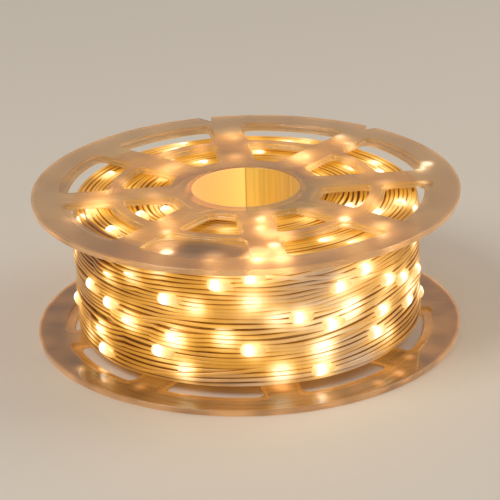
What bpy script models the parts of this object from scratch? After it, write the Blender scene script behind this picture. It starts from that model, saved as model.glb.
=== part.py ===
"""LED string lights wound on a clear plastic reel that lies on its lower flange.

Two moulded reel halves plug together at half height. The light string is wound
between their flanges: one turned coil whose turns show on its face and on both
ends, with the resin LEDs of its outer turns seated in the winding.
Metres, +Z up, origin at the centre of the face that the reel stands on.
"""

import math

import bmesh
import bpy
from mathutils import Matrix, Vector

# Reel sizes
FLANGE_DIAMETER = 0.140
REEL_HEIGHT = 0.049
FLANGE_THICKNESS = 0.0020
RIM_ROUNDING = 0.0008
BORE_DIAMETER = 0.035
DRUM_WALL = 0.0024
SPIGOT_WALL = 0.0010
SPIGOT_LENGTH = 0.006
PLUG_CLEARANCE = 0.0003

# Openwork of a flange, from the bore outwards
SPOKE_COUNT = 8
SPOKE_WIDTH = 0.0124
HUB_RING_WIDTH = 0.0082
INNER_WINDOW_DEPTH = 0.0145
MID_RING_WIDTH = 0.0053
OUTER_WINDOW_DEPTH = 0.0127
INNER_WINDOW_CORNER = 0.0018
OUTER_WINDOW_CORNER = 0.0026
LIP_WIDTH = 0.0028
LIP_SIDE = 0.0012
LIP_DEPTH = 0.0006
UPPER_SPOKE_AZIMUTH = 6.0
LOWER_SPOKE_AZIMUTH = 10.5
CLOSED_WINDOW = 5

# Catches for the string's end, cut in the upper rim
NOTCH_DEPTH = 0.0038
NOTCH_STEEP_RUN = 0.0004
NOTCH_SLOPING_RUN = 0.0034
NOTCH_CENTRE_AZIMUTH = 76.0
NOTCH_HALF_SPAN = 23.8

# Winding
COIL_DIAMETER = 0.114
COIL_SHOULDER = 0.0016
TURN_PITCH = 0.0017
GROOVE_DEPTH = 0.0006
WINDING_CLEARANCE = 0.0003

# LEDs on the string
LED_LENGTH = 0.0074
LED_DIAMETER = 0.0042
LED_PROUD = 0.0010
LED_SEAT_CLEARANCE = 0.0003
POCKET_LENGTH = 0.0098
POCKET_WIDTH = 0.0060
POCKET_MARGIN = 0.0012

# LEDs on the winding's face: azimuth in degrees and height in percent of the room for them
FRONT_LEDS = (
    (192, 25), (209, 57), (215, 21), (216, 1), (220, 50), (221, 79),
    (229, 42), (231, 87), (241, 19), (244, 70), (246, 35), (261, 88),
    (271, 27), (272, 95), (287, 54), (294, 1), (298, 42), (301, 76),
    (311, 85), (316, 20), (319, 39), (322, 65), (331, 58), (335, 31),
)

# LEDs on the winding's upper end: azimuth in degrees and percent of the way from bore to face
END_LEDS = (
    (32, 99), (74, 98), (120, 97), (155, 98), (192, 100), (302, 85), (350, 98),
    (33, 64), (85, 59), (128, 73), (147, 30), (205, 45), (282, 62), (344, 57),
)

# LEDs of the far side follow one another along the string at an even step
REAR_LED_COUNT = 14
REAR_LED_START = 345.0
REAR_LED_STEP = 14.0
REAR_LED_CLIMB = 61.8

# Facets of the round pieces
FLANGE_SEGMENTS = 60
COIL_SEGMENTS = 28
LED_SEGMENTS = 8
LED_RINGS = 5
POCKET_SIDES = 8
WINDOW_ARC_STEPS = 5
CORNER_STEPS = 2
CUTTER_MARGIN = 0.002

# Sizes that follow
bore_radius = BORE_DIAMETER / 2
drum_radius = bore_radius + DRUM_WALL
inner_window_start = bore_radius + HUB_RING_WIDTH
inner_window_end = inner_window_start + INNER_WINDOW_DEPTH
outer_window_start = inner_window_end + MID_RING_WIDTH
outer_window_end = outer_window_start + OUTER_WINDOW_DEPTH
mating_height = REEL_HEIGHT / 2
spoke_pitch = 360.0 / SPOKE_COUNT
coil_radius = COIL_DIAMETER / 2
coil_bore_radius = drum_radius + WINDING_CLEARANCE
coil_bottom = FLANGE_THICKNESS + WINDING_CLEARANCE
coil_top = REEL_HEIGHT - FLANGE_THICKNESS - WINDING_CLEARANCE


def clear_scene():
    for thing in list(bpy.data.objects):
        bpy.data.objects.remove(thing, do_unlink=True)


def make_collection(name):
    collection = bpy.data.collections.new(name)
    bpy.context.scene.collection.children.link(collection)
    return collection


def make_material(name, colour, roughness, alpha=1.0):
    material = bpy.data.materials.new(name)
    material.use_nodes = True
    shader = material.node_tree.nodes["Principled BSDF"]
    shader.inputs["Base Color"].default_value = (*colour, 1.0)
    shader.inputs["Roughness"].default_value = roughness
    shader.inputs["Metallic"].default_value = 0.0
    shader.inputs["Alpha"].default_value = alpha
    return material


def polar(radius, azimuth, height=0.0):
    """Point at a radius and an azimuth in degrees."""
    turn = math.radians(azimuth)
    return Vector((radius * math.cos(turn), radius * math.sin(turn), height))


def turned_piece(name, profile, segments, material):
    """Solid of revolution about Z from a closed profile of (radius, height) points.

    The profile runs down its outer side, inwards along its foot and up its bore.
    """
    mesh = bpy.data.meshes.new(name)
    count = len(profile)
    points = [(radius, 0.0, height) for radius, height in profile]
    edges = [(i, (i + 1) % count) for i in range(count)]
    mesh.from_pydata(points, edges, [])
    mesh.materials.append(material)
    piece = bpy.data.objects.new(name, mesh)
    parts.objects.link(piece)
    screw = piece.modifiers.new("Turn", "SCREW")
    screw.axis = "Z"
    screw.steps = segments
    screw.render_steps = segments
    screw.use_merge_vertices = True
    screw.merge_threshold = 0.00001
    screw.use_smooth_shade = False
    return piece


def round_corner(centre_radius, centre_height, start_angle):
    """Three points of a quarter circle of the rim's rounding, turning clockwise."""
    angles = [math.radians(start_angle - step) for step in (0, 45, 90)]
    return [
        (centre_radius + RIM_ROUNDING * math.cos(a), centre_height + RIM_ROUNDING * math.sin(a))
        for a in angles
    ]


def flange_rim(low, high):
    """Rounded edge of a flange between two heights, from top to bottom."""
    core = FLANGE_DIAMETER / 2 - RIM_ROUNDING
    return round_corner(core, high - RIM_ROUNDING, 90) + round_corner(core, low + RIM_ROUNDING, 0)


def window_corners(start, end, half_gap):
    """Corner azimuths of a window between two spokes, at its inner and outer arc."""
    inner = spoke_pitch / 2 - math.degrees(math.asin(half_gap / start))
    outer = spoke_pitch / 2 - math.degrees(math.asin(half_gap / end))
    return inner, outer


def add_window(target, azimuth, start, end, spoke_width, corner, low, high):
    """Prism of one window: two arcs, two sides parallel to the spokes, round corners."""
    inner, outer = window_corners(start, end, spoke_width / 2)
    steps = WINDOW_ARC_STEPS
    ring = [polar(end, azimuth + outer * (2 * i / steps - 1), low) for i in range(steps + 1)]
    ring += [polar(start, azimuth + inner * (1 - 2 * i / steps), low) for i in range(steps + 1)]
    shape = bmesh.new()
    verts = [shape.verts.new(point) for point in ring]
    shape.faces.new(verts)
    corners = [verts[0], verts[steps], verts[steps + 1], verts[-1]]
    bmesh.ops.bevel(
        shape, geom=corners, affect="VERTICES", offset=corner, segments=CORNER_STEPS, profile=0.5
    )
    grown = bmesh.ops.extrude_face_region(shape, geom=shape.faces[:], use_keep_orig=True)
    tops = [item for item in grown["geom"] if isinstance(item, bmesh.types.BMVert)]
    bmesh.ops.translate(shape, verts=tops, vec=Vector((0, 0, high - low)))
    bmesh.ops.recalc_face_normals(shape, faces=shape.faces)
    merge_into(target, shape)


def merge_into(target, shape):
    """Adds a bmesh to another one and frees it."""
    carrier = bpy.data.meshes.new("carrier")
    shape.to_mesh(carrier)
    shape.free()
    target.from_mesh(carrier)
    bpy.data.meshes.remove(carrier)


def finish_cutter(name, shape):
    """Turns a bmesh into a cutter object that neither renders nor counts as a piece."""
    mesh = bpy.data.meshes.new(name)
    shape.to_mesh(mesh)
    shape.free()
    cutter = bpy.data.objects.new(name, mesh)
    cutters.objects.link(cutter)
    cutter.hide_render = True
    cutter.display_type = "WIRE"
    return cutter


def cut(piece, cutter, meeting=False):
    """Subtracts a cutter from a piece. Meeting cutters have parts that may run into each other."""
    boolean = piece.modifiers.new(cutter.name, "BOOLEAN")
    boolean.operation = "DIFFERENCE"
    boolean.solver = "EXACT"
    boolean.use_self = meeting
    boolean.object = cutter


def cut_windows(piece, spoke_azimuth, low, high, closed=None):
    """Opens the windows of a flange, except a closed outer one."""
    shape = bmesh.new()
    for index in range(SPOKE_COUNT):
        azimuth = spoke_azimuth + spoke_pitch * (index + 0.5)
        add_window(
            shape, azimuth, inner_window_start, inner_window_end, SPOKE_WIDTH,
            INNER_WINDOW_CORNER, low, high,
        )
        if index != closed:
            add_window(
                shape, azimuth, outer_window_start, outer_window_end, SPOKE_WIDTH,
                OUTER_WINDOW_CORNER, low, high,
            )
    cut(piece, finish_cutter(piece.name + "_window_cutter", shape))


def cut_lips(piece, spoke_azimuth, low, high, closed=None):
    """Recesses the thin lip around each outer window into a face of the flange."""
    shape = bmesh.new()
    for index in range(SPOKE_COUNT):
        if index != closed:
            add_window(
                shape, spoke_azimuth + spoke_pitch * (index + 0.5),
                outer_window_start - LIP_SIDE, outer_window_end + LIP_WIDTH,
                SPOKE_WIDTH - 2 * LIP_SIDE, OUTER_WINDOW_CORNER, low, high,
            )
    cut(piece, finish_cutter(piece.name + "_lip_cutter", shape))


def cut_notches(piece, low, high):
    """Cuts the two mirrored V notches for the string's end in the rim."""
    rim = FLANGE_DIAMETER / 2
    beyond = CUTTER_MARGIN / NOTCH_DEPTH
    shape = bmesh.new()
    for side in (-1, 1):
        azimuth = NOTCH_CENTRE_AZIMUTH + side * NOTCH_HALF_SPAN
        tangent = polar(1.0, azimuth + side * 90)
        root = polar(rim - NOTCH_DEPTH, azimuth, low)
        mouth = polar(rim + CUTTER_MARGIN, azimuth, low)
        steep = mouth - tangent * NOTCH_STEEP_RUN * (1 + beyond)
        sloping = mouth + tangent * NOTCH_SLOPING_RUN * (1 + beyond)
        verts = [shape.verts.new(point) for point in (root, steep, sloping)]
        face = shape.faces.new(verts)
        grown = bmesh.ops.extrude_face_region(shape, geom=[face], use_keep_orig=True)
        tops = [item for item in grown["geom"] if isinstance(item, bmesh.types.BMVert)]
        bmesh.ops.translate(shape, verts=tops, vec=Vector((0, 0, high - low)))
    bmesh.ops.recalc_face_normals(shape, faces=shape.faces)
    cut(piece, finish_cutter(piece.name + "_notch_cutter", shape))


def make_lower_half():
    """Lower flange and its half of the drum, with the spigot that plugs into the other half."""
    spigot_radius = bore_radius + SPIGOT_WALL
    spigot_top = mating_height + SPIGOT_LENGTH
    profile = [(spigot_radius, spigot_top), (spigot_radius, mating_height)]
    profile += [(drum_radius, mating_height), (drum_radius, FLANGE_THICKNESS)]
    profile += flange_rim(0.0, FLANGE_THICKNESS)
    profile += [(bore_radius, 0.0), (bore_radius, spigot_top)]
    piece = turned_piece("spool_lower_half", profile, FLANGE_SEGMENTS, frosted_plastic)
    cut_lips(piece, LOWER_SPOKE_AZIMUTH, FLANGE_THICKNESS - LIP_DEPTH, FLANGE_THICKNESS + CUTTER_MARGIN)
    cut_windows(piece, LOWER_SPOKE_AZIMUTH, -CUTTER_MARGIN, FLANGE_THICKNESS + CUTTER_MARGIN)
    return piece


def make_upper_half():
    """Upper flange and its half of the drum, counterbored for the spigot."""
    socket_radius = bore_radius + SPIGOT_WALL + PLUG_CLEARANCE
    socket_top = mating_height + SPIGOT_LENGTH + PLUG_CLEARANCE
    drum_end = mating_height + PLUG_CLEARANCE
    underside = REEL_HEIGHT - FLANGE_THICKNESS
    profile = flange_rim(underside, REEL_HEIGHT)
    profile += [(drum_radius, underside), (drum_radius, drum_end), (socket_radius, drum_end)]
    profile += [(socket_radius, socket_top), (bore_radius, socket_top), (bore_radius, REEL_HEIGHT)]
    piece = turned_piece("spool_upper_half", profile, FLANGE_SEGMENTS, frosted_plastic)
    low = underside - CUTTER_MARGIN
    high = REEL_HEIGHT + CUTTER_MARGIN
    cut_lips(piece, UPPER_SPOKE_AZIMUTH, REEL_HEIGHT - LIP_DEPTH, high, CLOSED_WINDOW)
    cut_windows(piece, UPPER_SPOKE_AZIMUTH, low, high, CLOSED_WINDOW)
    cut_notches(piece, low, high)
    return piece


def face_radius(height):
    """Crest radius of the winding's face, which draws in towards both ends."""
    to_end = min(height - coil_bottom, coil_top - height)
    reach = 2 * COIL_SHOULDER
    if to_end >= reach:
        return coil_radius
    return coil_radius - COIL_SHOULDER * (1 - to_end / reach) ** 2


def coil_profile():
    """Ridged outline of the winding: face, lower end, bore, upper end."""
    outer = face_radius(coil_top)
    face_turns = max(1, round((coil_top - coil_bottom) / TURN_PITCH))
    end_turns = max(1, round((outer - coil_bore_radius) / TURN_PITCH))
    face_pitch = (coil_top - coil_bottom) / face_turns
    end_pitch = (outer - coil_bore_radius) / end_turns
    profile = []
    for turn in range(face_turns):
        crest = coil_top - (turn + 0.5) * face_pitch
        valley = crest - face_pitch / 2
        profile.append((face_radius(crest), crest))
        if turn < face_turns - 1:
            profile.append((face_radius(valley) - GROOVE_DEPTH, valley))
    for turn in range(end_turns):
        crest = outer - (turn + 0.5) * end_pitch
        profile.append((crest, coil_bottom))
        if turn < end_turns - 1:
            profile.append((crest - end_pitch / 2, coil_bottom + GROOVE_DEPTH))
    profile.append((coil_bore_radius, coil_bottom + GROOVE_DEPTH))
    profile.append((coil_bore_radius, coil_top - GROOVE_DEPTH))
    for turn in range(end_turns):
        crest = coil_bore_radius + (turn + 0.5) * end_pitch
        profile.append((crest, coil_top))
        if turn < end_turns - 1:
            profile.append((crest + end_pitch / 2, coil_top - GROOVE_DEPTH))
    return profile


def led_mesh():
    """Capsule of clear resin along Y, moulded round one LED of the string."""
    mesh = bpy.data.meshes.new("led_bead")
    shape = bmesh.new()
    bmesh.ops.create_uvsphere(
        shape, u_segments=LED_SEGMENTS, v_segments=LED_RINGS, radius=LED_DIAMETER / 2
    )
    bmesh.ops.rotate(shape, verts=shape.verts, matrix=Matrix.Rotation(math.radians(90), 3, "X"))
    straight = (LED_LENGTH - LED_DIAMETER) / 2
    for vert in shape.verts:
        vert.co.y += math.copysign(straight, vert.co.y)
    bmesh.ops.recalc_face_normals(shape, faces=shape.faces)
    shape.to_mesh(mesh)
    shape.free()
    mesh.materials.append(led_resin)
    mesh.shade_smooth()
    return mesh


def add_pocket(target, place, depth):
    """Pocket that the turns leave round an LED, a unit prism scaled and sunk along X."""
    shape = bmesh.new()
    height = depth + CUTTER_MARGIN
    bmesh.ops.create_cone(
        shape, cap_ends=True, segments=POCKET_SIDES, radius1=0.5, radius2=0.5, depth=height,
        matrix=Matrix.Translation((0, 0, CUTTER_MARGIN - height / 2)),
    )
    bmesh.ops.rotate(shape, verts=shape.verts, matrix=Matrix.Rotation(math.radians(90), 3, "Y"))
    bmesh.ops.scale(shape, verts=shape.verts, vec=(1.0, POCKET_LENGTH, POCKET_WIDTH))
    bmesh.ops.transform(shape, verts=shape.verts, matrix=place)
    merge_into(target, shape)


def face_place(azimuth, height):
    """Frame on the winding's face: X points out, Y along the turns."""
    turn = Matrix.Rotation(math.radians(azimuth), 4, "Z")
    return Matrix.Translation(polar(face_radius(height), azimuth, height)) @ turn


def end_place(azimuth, radius):
    """Frame on the winding's upper end: X points up, Y along the turns."""
    turn = Matrix.Rotation(math.radians(azimuth), 4, "Z")
    tip = Matrix.Rotation(math.radians(-90), 4, "Y")
    return Matrix.Translation(polar(radius, azimuth, coil_top)) @ turn @ tip


def within(low, high, percent):
    """Place of a pocket's middle between two edges of the winding, clear of both."""
    keep = POCKET_WIDTH / 2 + POCKET_MARGIN
    return low + keep + (high - low - 2 * keep) * percent / 100


def led_places():
    """Seats of the LEDs, each with the height that its LED stands proud of the winding."""
    rear = [
        (REAR_LED_START + index * REAR_LED_STEP, (50 + index * REAR_LED_CLIMB) % 100)
        for index in range(REAR_LED_COUNT)
    ]
    places = [
        (face_place(azimuth, within(coil_bottom, coil_top, share)), LED_PROUD)
        for azimuth, share in list(FRONT_LEDS) + rear
    ]
    edge = face_radius(coil_top)
    places += [
        (end_place(azimuth, within(coil_bore_radius, edge, share)), 0.0)
        for azimuth, share in END_LEDS
    ]
    return places


def make_winding():
    """Coil of the wound string, then one LED in each pocket of it."""
    coil = turned_piece("wire_coil", coil_profile(), COIL_SEGMENTS, clear_wire)
    shape = bmesh.new()
    mesh = led_mesh()
    leds = []
    for number, (place, proud) in enumerate(led_places(), start=1):
        sunk = LED_DIAMETER - proud
        add_pocket(shape, place, sunk + LED_SEAT_CLEARANCE)
        led = bpy.data.objects.new(f"led_bead_{number:02d}", mesh)
        parts.objects.link(led)
        led.matrix_world = place @ Matrix.Translation((proud - LED_DIAMETER / 2, 0, 0))
        leds.append(led)
    cut(coil, finish_cutter("led_pocket_cutter", shape), meeting=True)
    return [coil] + leds


def shade_round(piece):
    """Smooth shading with crisp edges."""
    piece.data.shade_smooth()
    piece.data.set_sharp_from_angle(angle=math.radians(30))


clear_scene()
parts = make_collection("string_lights_on_reel")
cutters = make_collection("string_lights_cutters")

frosted_plastic = make_material("frosted_clear_plastic", (0.72, 0.60, 0.47), 0.42, 0.55)
clear_wire = make_material("clear_insulated_wire", (0.74, 0.46, 0.12), 0.30)
led_resin = make_material("clear_led_resin", (1.0, 0.88, 0.62), 0.20)

reel = bpy.data.objects.new("reel_axis", None)
parts.objects.link(reel)
pieces = [make_lower_half(), make_upper_half()] + make_winding()
bpy.context.view_layer.update()
for piece in pieces:
    piece.parent = reel
    shade_round(piece)
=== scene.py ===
"""Looks of a warm white LED light string, lit, still wound on its frosted shipping reel.

Metres, +Z up. The reel stands on its lower flange with the origin under its middle.
"""

import math
import random

import bmesh
import bpy
import numpy as np
from mathutils import Matrix, Vector, noise


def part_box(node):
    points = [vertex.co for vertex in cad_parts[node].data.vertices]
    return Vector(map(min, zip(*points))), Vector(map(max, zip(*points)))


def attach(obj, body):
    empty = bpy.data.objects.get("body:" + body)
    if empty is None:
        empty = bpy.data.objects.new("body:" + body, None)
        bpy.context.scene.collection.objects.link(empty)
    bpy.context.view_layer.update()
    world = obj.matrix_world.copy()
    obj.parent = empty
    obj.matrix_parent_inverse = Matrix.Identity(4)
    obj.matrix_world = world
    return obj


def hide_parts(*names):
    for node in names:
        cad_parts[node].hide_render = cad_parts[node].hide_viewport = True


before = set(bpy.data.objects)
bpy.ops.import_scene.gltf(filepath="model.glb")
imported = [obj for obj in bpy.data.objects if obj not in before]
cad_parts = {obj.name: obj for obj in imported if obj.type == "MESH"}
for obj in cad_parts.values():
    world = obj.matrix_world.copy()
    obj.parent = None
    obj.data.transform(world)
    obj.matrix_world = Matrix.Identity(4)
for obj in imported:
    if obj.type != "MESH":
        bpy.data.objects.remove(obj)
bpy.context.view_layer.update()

# Camera
# It looks down at the front of the reel with a long lens, rolled a little to the right.
VIEW_DISTANCE = 0.839
VIEW_ELEVATION = math.radians(22.68)
VIEW_ROLL = math.radians(-1.58)
VIEW_HEIGHT = 0.0245
LENS = 183.1
SHIFT_RIGHT = 0.0050
SHIFT_UP = 0.0114


def in_scene(name, data):
    """New object that holds some data, linked to the scene."""
    piece = bpy.data.objects.new(name, data)
    bpy.context.scene.collection.objects.link(piece)
    return piece


def make_camera():
    data = bpy.data.cameras.new("camera")
    data.lens = LENS
    data.sensor_width = 36
    data.shift_x = SHIFT_RIGHT
    data.shift_y = SHIFT_UP
    data.clip_start = 0.05
    camera = in_scene("camera", data)
    back = Vector((0, -math.cos(VIEW_ELEVATION), math.sin(VIEW_ELEVATION)))
    aim = Vector((0, 0, VIEW_HEIGHT)) + back * VIEW_DISTANCE
    tilt = Matrix.Rotation(math.radians(90) - VIEW_ELEVATION, 4, "X")
    camera.matrix_world = Matrix.Translation(aim) @ tilt @ Matrix.Rotation(VIEW_ROLL, 4, "Z")
    bpy.context.scene.camera = camera


make_camera()

# Reel halves
# Two mouldings of frosted clear polypropylene. Each has an openwork flange with eight
# spokes and half of the drum, and they plug together at half height.
MM = 0.001
REEL_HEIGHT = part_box("spool_upper_half")[1][2]
FLANGE_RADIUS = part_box("spool_upper_half")[1][0]
FLANGE_THICKNESS = 2.0 * MM
WEB_THICKNESS = 0.8 * MM
BORE_RADIUS = 17.5 * MM
DRUM_RADIUS = 19.9 * MM
HUB_RING_OVERLAP = 1.2 * MM
PLATE_SINK = 0.06 * MM
SPIGOT_RADIUS = 18.5 * MM
SPIGOT_LENGTH = 6.0 * MM
PLUG_GAP = 0.3 * MM
EDGE_ROUNDING = 0.34 * MM
RIM_ROUNDING = 0.75 * MM
BORE_ROUNDING = 0.6 * MM
SPOKES = 8
SPOKE_HALF_WIDTH = 6.2 * MM
INNER_WINDOW = (25.7 * MM, 40.2 * MM)
OUTER_WINDOW = (45.5 * MM, 58.2 * MM)
INNER_CORNER = 2.2 * MM
OUTER_CORNER = 3.2 * MM
LIP_OUTWARD = 2.8 * MM
LIP_SIDEWAYS = 1.2 * MM
INNER_LIP = 0.9 * MM
UPPER_SPOKE_AZIMUTH = 6.0
LOWER_SPOKE_AZIMUTH = 10.5
CLOSED_WINDOW = 5
HALF_PANEL = (7.5 * MM, 17.0 * MM)
NOTCHES = ((99.8, 1), (52.2, -1))
NOTCH_DEPTH = 4.4 * MM
NOTCH_RUN = 3.4 * MM
KEY_AZIMUTH = 89.0
KEY_STEP = 0.35 * MM


def polar(radius, azimuth, height=0.0):
    """Point at a radius and an azimuth in degrees."""
    turn = math.radians(azimuth)
    return Vector((radius * math.cos(turn), radius * math.sin(turn), height))


def window_outline(azimuth, span, half_spoke, corner, steps=14):
    """Points round one window: two arcs, two sides along the spokes, round corners."""
    inner, outer = span

    def half_angle(radius):
        return 180.0 / SPOKES - math.degrees(math.asin(half_spoke / radius))

    def arc(radius, sign):
        reach = half_angle(radius) - math.degrees(corner / radius)
        return [polar(radius, azimuth + sign * reach * (1 - 2 * i / steps)) for i in range(steps + 1)]

    def side(start, end, sign):
        return [polar(radius, azimuth + sign * half_angle(radius)) for radius in (start, end)]

    runs = [
        arc(outer, 1), side(outer - corner, inner + corner, -1),
        arc(inner, -1), side(inner + corner, outer - corner, 1),
    ]
    corners = [
        polar(outer, azimuth - half_angle(outer)), polar(inner, azimuth - half_angle(inner)),
        polar(inner, azimuth + half_angle(inner)), polar(outer, azimuth + half_angle(outer)),
    ]
    points = []
    for run, tip, after in zip(runs, corners, runs[1:] + runs[:1]):
        points += run
        for share in (0.2, 0.4, 0.6, 0.8):
            near = run[-1].lerp(tip, share)
            points.append(near.lerp(tip.lerp(after[0], share), share))
    return points


def rim_outline(notched, steps=240):
    """Rim of a flange, with the two V notches that hold the string's end."""
    points = []
    for index in range(steps):
        azimuth = 360.0 * index / steps
        inside = False
        for centre, side in NOTCHES:
            from_notch = (azimuth - centre) * side * math.radians(FLANGE_RADIUS)
            if notched and -1.2 * MM < from_notch < NOTCH_RUN + 1.0 * MM:
                inside = True
        if not inside:
            points.append((azimuth, polar(FLANGE_RADIUS, azimuth)))
    if notched:
        for centre, side in NOTCHES:
            arc = math.degrees(1.0 / FLANGE_RADIUS) * side
            for run, depth in (
                (-0.9 * MM, 0.0), (-0.45 * MM, 0.25 * MM), (-0.2 * MM, 1.0 * MM),
                (0.0, NOTCH_DEPTH - 0.5 * MM), (0.35 * MM, NOTCH_DEPTH),
                (0.9 * MM, NOTCH_DEPTH - 0.6 * MM), (NOTCH_RUN, 0.35 * MM), (NOTCH_RUN + 0.9 * MM, 0.0),
            ):
                azimuth = centre + run * arc
                points.append((azimuth, polar(FLANGE_RADIUS - depth, azimuth)))
    return [point for azimuth, point in sorted(points, key=lambda item: item[0])]


def applied(piece):
    """Replaces an object's mesh by its evaluated one and clears its modifiers."""
    depsgraph = bpy.context.evaluated_depsgraph_get()
    depsgraph.update()
    mesh = bpy.data.meshes.new_from_object(
        piece.evaluated_get(depsgraph), preserve_all_data_layers=True, depsgraph=depsgraph
    )
    mesh.name = piece.name
    if piece.type != "MESH":
        bpy.data.objects.remove(piece)
        return in_scene(mesh.name, mesh)
    piece.modifiers.clear()
    piece.data = mesh
    return piece


def plate(name, outlines, low, high, rounding):
    """Flat plate with holes and rounded edges, from a filled curve."""
    curve = bpy.data.curves.new(name, "CURVE")
    curve.dimensions = "2D"
    curve.fill_mode = "BOTH"
    curve.extrude = (high - low) / 2 - rounding
    curve.bevel_depth = rounding
    curve.bevel_resolution = 2
    curve.offset = -rounding
    for outline in outlines:
        spline = curve.splines.new("POLY")
        spline.points.add(len(outline) - 1)
        for point, place in zip(spline.points, outline):
            point.co = (place.x, place.y, 0, 1)
        spline.use_cyclic_u = True
    piece = applied(in_scene(name, curve))
    shape = bmesh.new()
    shape.from_mesh(piece.data)
    bmesh.ops.remove_doubles(shape, verts=shape.verts, dist=0.002 * MM)
    bmesh.ops.translate(shape, verts=shape.verts, vec=(0, 0, (low + high) / 2))
    bmesh.ops.recalc_face_normals(shape, faces=shape.faces)
    shape.to_mesh(piece.data)
    shape.free()
    return piece


def turned(name, profile, segments):
    """Solid of revolution from a closed profile of (radius, height) points."""
    shape = bmesh.new()
    rings = []
    for index in range(segments):
        azimuth = 360.0 * index / segments
        rings.append([shape.verts.new(polar(radius, azimuth, height)) for radius, height in profile])
    count = len(profile)
    for ring, following in zip(rings, rings[1:] + rings[:1]):
        for i in range(count):
            j = (i + 1) % count
            shape.faces.new((ring[i], ring[j], following[j], following[i]))
    bmesh.ops.recalc_face_normals(shape, faces=shape.faces)
    mesh = bpy.data.meshes.new(name)
    shape.to_mesh(mesh)
    shape.free()
    return in_scene(name, mesh)


def unite(base, others):
    """Boolean union of a few closed bodies, then smooth faces with flat tops kept flat."""
    for other in others:
        joint = base.modifiers.new("Union", "BOOLEAN")
        joint.operation = "UNION"
        joint.solver = "EXACT"
        joint.object = other
    base = applied(base)
    for other in others:
        bpy.data.objects.remove(other)
    base.data.shade_smooth()
    normals = base.modifiers.new("Normals", "WEIGHTED_NORMAL")
    normals.weight = 80
    normals.keep_sharp = False
    return applied(base)


def drum_wall(name, low, high, socket_end=None):
    """Half of the drum with its spigot or its socket, rounded where the bore meets the flange."""
    face, mating, way = (low, high, 1) if socket_end is None else (high, low, -1)
    profile = [
        (BORE_RADIUS + out * BORE_ROUNDING, face + way * along * BORE_ROUNDING)
        for out, along in ((0, 1), (0.3, 0.3), (1, 0))
    ]
    profile += [(DRUM_RADIUS, face), (DRUM_RADIUS, mating)]
    if socket_end is None:
        spigot_top = high + SPIGOT_LENGTH
        profile += [(SPIGOT_RADIUS, high), (SPIGOT_RADIUS, spigot_top), (BORE_RADIUS, spigot_top)]
    else:
        socket = SPIGOT_RADIUS + PLUG_GAP
        profile += [(socket, low), (socket, socket_end), (BORE_RADIUS, socket_end)]
    wall = turned(name, profile, 180)
    for vert in wall.data.vertices:
        azimuth = math.degrees(math.atan2(vert.co.y, vert.co.x))
        keyed = math.cos(math.radians(azimuth - KEY_AZIMUTH + 90)) > 0
        if keyed and math.hypot(vert.co.x, vert.co.y) < BORE_RADIUS + 0.01 * MM:
            stretch = (BORE_RADIUS + KEY_STEP) / BORE_RADIUS
            vert.co.x *= stretch
            vert.co.y *= stretch
    return wall


def flange_plates(name, low, spoke_azimuth, notched, closed):
    """Full plate round the lips, and the thinner web under them that reaches in to the windows."""
    high = low + FLANGE_THICKNESS
    rim = rim_outline(notched)
    hub = [polar(BORE_RADIUS + HUB_RING_OVERLAP, 3.0 * i) for i in range(120)]
    openings = []
    lips = []
    for index in range(SPOKES):
        azimuth = spoke_azimuth + 360.0 / SPOKES * (index + 0.5)
        inner_lip = (INNER_WINDOW[0] - INNER_LIP, INNER_WINDOW[1] + INNER_LIP)
        outer_lip = (OUTER_WINDOW[0] - LIP_SIDEWAYS, OUTER_WINDOW[1] + LIP_OUTWARD)
        lips.append(window_outline(azimuth, inner_lip, SPOKE_HALF_WIDTH - INNER_LIP, INNER_CORNER))
        lips.append(window_outline(azimuth, outer_lip, SPOKE_HALF_WIDTH - LIP_SIDEWAYS, OUTER_CORNER))
        openings.append(window_outline(azimuth, INNER_WINDOW, SPOKE_HALF_WIDTH, INNER_CORNER))
        if index != closed:
            openings.append(window_outline(azimuth, OUTER_WINDOW, SPOKE_HALF_WIDTH, OUTER_CORNER))
    full = plate(name + "_plate", [rim, hub] + lips, low, high - PLATE_SINK, RIM_ROUNDING / 2)
    edge = [polar(FLANGE_RADIUS - 5.0 * MM, 2.0 * i) for i in range(180)]
    web = plate(
        name + "_web", [edge, hub] + openings,
        low + PLATE_SINK, low + PLATE_SINK + WEB_THICKNESS, EDGE_ROUNDING,
    )
    return full, web


def srgb(code):
    """Linear colour of an sRGB hex code."""
    values = [int(code[i:i + 2], 16) / 255 for i in (1, 3, 5)]
    return tuple(v / 12.92 if v <= 0.04045 else ((v + 0.055) / 1.055) ** 2.4 for v in values) + (1.0,)


def add(tree, kind, settings=None, **links):
    """Adds a node, sets its properties and inputs, and links what is a socket."""
    node = tree.nodes.new(kind)
    for key, value in (settings or {}).items():
        setattr(node, key, value)
    for key, value in links.items():
        socket = node.inputs[int(key[1:])] if key[0] == "i" and key[1:].isdigit() else node.inputs[key]
        if isinstance(value, bpy.types.NodeSocket):
            tree.links.new(value, socket)
        else:
            socket.default_value = value
    return node


def ramp_colours(node, stops):
    """Sets a colour ramp's stops from (position, colour or sRGB hex code) pairs."""
    while len(node.color_ramp.elements) < len(stops):
        node.color_ramp.elements.new(0.5)
    for element, (position, colour) in zip(node.color_ramp.elements, stops):
        element.position = position
        element.color = srgb(colour) if isinstance(colour, str) else colour


def grey(level):
    return (level, level, level, 1)


def new_material(name):
    """Empty node material with its surface shader."""
    material = bpy.data.materials.new(name)
    material.use_nodes = True
    tree = material.node_tree
    return material, tree, tree.nodes["Principled BSDF"]


def set_shader(shader, **values):
    """Sets plain inputs of the shader, named with _ for a space."""
    for name, value in values.items():
        shader.inputs[name.replace("_", " ")].default_value = value


def shine(tree, shader, colour):
    """Gives a surface its colour, and light of the same colour."""
    for name in ("Base Color", "Emission Color"):
        tree.links.new(colour, shader.inputs[name])


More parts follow.
